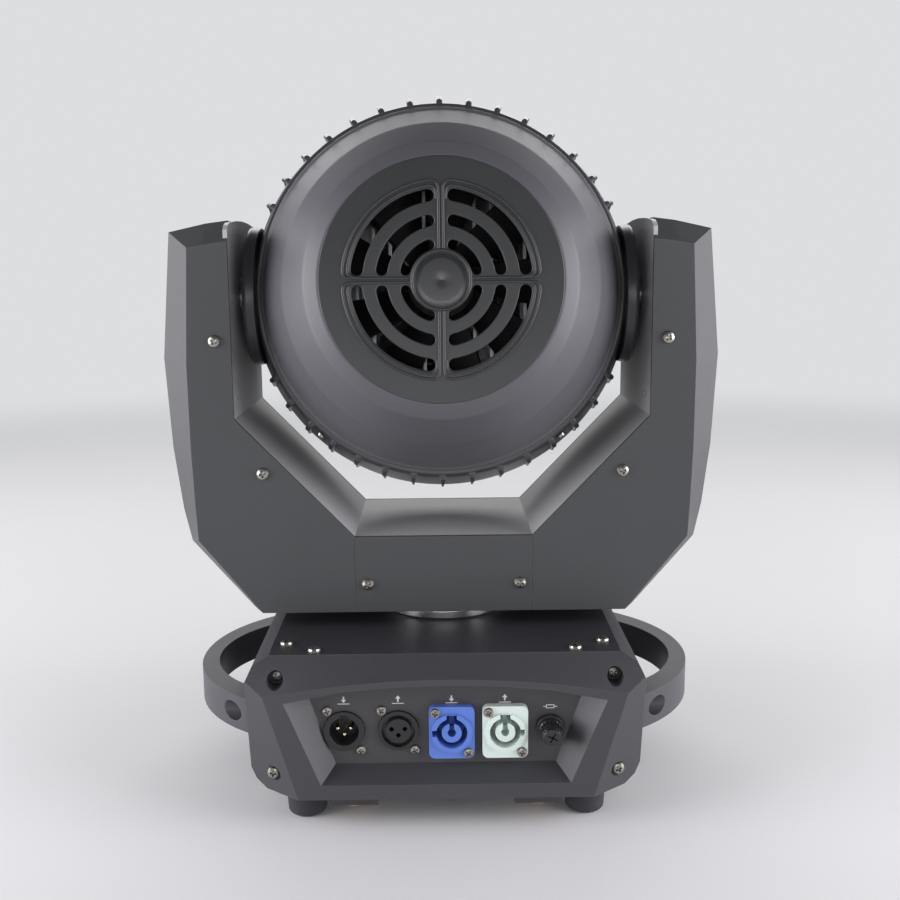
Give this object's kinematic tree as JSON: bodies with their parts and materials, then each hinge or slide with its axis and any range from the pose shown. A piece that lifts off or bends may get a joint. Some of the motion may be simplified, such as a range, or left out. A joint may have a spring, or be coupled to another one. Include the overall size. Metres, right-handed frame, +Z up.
{
  "type": "moving head light",
  "caption": "Moving head wash light: box base with side loop handles and a connector panel, U-shaped yoke that pans, ribbed round lamp head with fan grille that tilts.",
  "frame": {"origin": "on the pan axis, at the plane of the rubber feet", "axes": "+Z up along the pan axis, -Y out of the connector panel, +Y out of the display and (at rest) the lenses, X along the tilt axis"},
  "size_m": [0.3346, 0.2375, 0.4226],
  "materials": {
    "base_plastic": "fine moulded texture",
    "base_steel": "fine textured powder coat",
    "handle_plastic": "satin moulded",
    "foot_rubber": "matte",
    "brass": "turned",
    "connector_black": "semi gloss",
    "connector_blue": "semi gloss",
    "connector_white": "semi gloss",
    "screw_nickel": "nickel plated",
    "display_glass": "clear acrylic",
    "board_green": "solder mask",
    "button_rubber": "matte",
    "supply_case": "perforated sheet",
    "hub_aluminium": "turned",
    "bearing_steel": "ground",
    "belt_rubber": "matte",
    "motor_steel": "satin",
    "yoke_frame_paint": "satin grey powder coat",
    "yoke_plastic": "fine moulded texture",
    "head_shell_plastic": "satin",
    "badge_plastic": "semi gloss",
    "drum_paint": "satin black cast",
    "heatsink_aluminium": "extruded",
    "led_board_white": "white solder mask",
    "fan_plastic": "moulded",
    "carriage_plastic": "moulded",
    "lens_clear": "polished"
  },
  "bodies": {
    "base": {"base_tray": "base_steel", "top_plate": "base_steel", "side_cover_left": "base_plastic", "side_cover_right": "base_plastic", "rear_end_cap": "base_plastic", "front_end_cap": "base_plastic", "connector_panel": "base_steel", "handle_left": "handle_plastic", "handle_right": "handle_plastic", "rubber_feet": "foot_rubber", "bracket_rails": "base_steel", "quarter_turn_receptacles": "brass", "data_in_connector": "connector_black", "data_out_connector": "connector_black", "power_in_connector": "connector_blue", "power_out_connector": "connector_white", "fuse_holder": "connector_black", "base_screws": "screw_nickel", "display_window": "display_glass", "display_board": "board_green", "power_supply": "supply_case", "main_board": "board_green", "pan_hub": "hub_aluminium", "pan_pulley": "hub_aluminium"},
    "fuse_plug": {"fuse_cap": "connector_black"},
    "menu_key": {"button_menu": "button_rubber"},
    "up_key": {"button_up": "button_rubber"},
    "down_key": {"button_down": "button_rubber"},
    "enter_key": {"button_enter": "button_rubber"},
    "yoke": {"yoke_frame": "yoke_frame_paint", "arm_cover_left_rear": "yoke_plastic", "arm_cover_left_front": "yoke_plastic", "arm_cover_right_rear": "yoke_plastic", "arm_cover_right_front": "yoke_plastic", "crossbar_cover_rear": "yoke_plastic", "crossbar_cover_front": "yoke_plastic", "yoke_screws": "screw_nickel", "pan_motor": "motor_steel", "pan_belt": "belt_rubber", "tilt_motor": "motor_steel", "tilt_belt": "belt_rubber", "tilt_bearings": "bearing_steel", "pan_bearing": "bearing_steel"},
    "pan_drive": {"pan_motor_pulley": "hub_aluminium"},
    "tilt_drive": {"tilt_motor_pulley": "hub_aluminium"},
    "head": {"head_rear_shell": "head_shell_plastic", "grille_badge": "badge_plastic", "drum_housing": "drum_paint", "tilt_trunnions": "hub_aluminium", "tilt_pulley": "hub_aluminium", "heatsink": "heatsink_aluminium", "led_board": "led_board_white", "fan_frame": "fan_plastic", "front_bezel": "drum_paint", "zoom_motors": "motor_steel"},
    "fan": {"fan_rotor": "fan_plastic"},
    "zoom_optics": {"lens_carriage": "carriage_plastic", "lenses": "lens_clear"},
    "zoom_drive_upper": {"zoom_screw_upper": "bearing_steel"},
    "zoom_drive_lower": {"zoom_screw_lower": "bearing_steel"}
  },
  "joints": [
    {"name": "pan", "type": "hinge", "parent": "base", "child": "yoke", "pos_m": [0, 0, 0.11], "axis": [0, 0, 1], "range_deg": [-270, 270]},
    {"name": "tilt", "type": "hinge", "parent": "yoke", "child": "head", "pos_m": [0, 0, 0.299], "axis": [1, 0, 0], "range_deg": [-38, 232]},
    {"name": "pan_motor_turn", "type": "hinge", "parent": "yoke", "child": "pan_drive", "pos_m": [0.052, 0, 0.12], "axis": [0, 0, 1], "range_deg": [-1350, 1350]},
    {"name": "tilt_motor_turn", "type": "hinge", "parent": "yoke", "child": "tilt_drive", "pos_m": [-0.13, 0, 0.16], "axis": [1, 0, 0], "range_deg": [-190, 1160]},
    {"name": "fan_spin", "type": "hinge", "parent": "head", "child": "fan", "pos_m": [0, 0, 0.299], "axis": [0, -0.9925, 0.1219], "continuous": true},
    {"name": "zoom", "type": "slide", "parent": "head", "child": "zoom_optics", "axis": [0, 0.9925, -0.1219], "range_m": [0, 0.018]},
    {"name": "zoom_screw_upper_turn", "type": "hinge", "parent": "head", "child": "zoom_drive_upper", "pos_m": [0, 0.01231, 0.39925], "axis": [0, 0.9925, -0.1219], "range_deg": [0, 810]},
    {"name": "zoom_screw_lower_turn", "type": "hinge", "parent": "head", "child": "zoom_drive_lower", "pos_m": [0, -0.01231, 0.19875], "axis": [0, 0.9925, -0.1219], "range_deg": [0, 810]},
    {"name": "fuse_turn", "type": "hinge", "parent": "base", "child": "fuse_plug", "pos_m": [0.0599, -0.11, 0.0557], "axis": [0, -1, 0], "range_deg": [0, 60]},
    {"name": "menu_press", "type": "slide", "parent": "base", "child": "menu_key", "axis": [0, -1, 0], "range_m": [0, 0.0012], "stiffness_N_per_m": 400},
    {"name": "up_press", "type": "slide", "parent": "base", "child": "up_key", "axis": [0, -1, 0], "range_m": [0, 0.0012], "stiffness_N_per_m": 400},
    {"name": "down_press", "type": "slide", "parent": "base", "child": "down_key", "axis": [0, -1, 0], "range_m": [0, 0.0012], "stiffness_N_per_m": 400},
    {"name": "enter_press", "type": "slide", "parent": "base", "child": "enter_key", "axis": [0, -1, 0], "range_m": [0, 0.0012], "stiffness_N_per_m": 400}
  ],
  "couplings": [
    {"joint": "pan_motor_turn", "follows": "pan", "ratio": -5},
    {"joint": "tilt_motor_turn", "follows": "tilt", "ratio": 5},
    {"joint": "zoom_screw_upper_turn", "follows": "zoom", "rad_per_m": 785.4},
    {"joint": "zoom_screw_lower_turn", "follows": "zoom", "rad_per_m": 785.4}
  ]
}
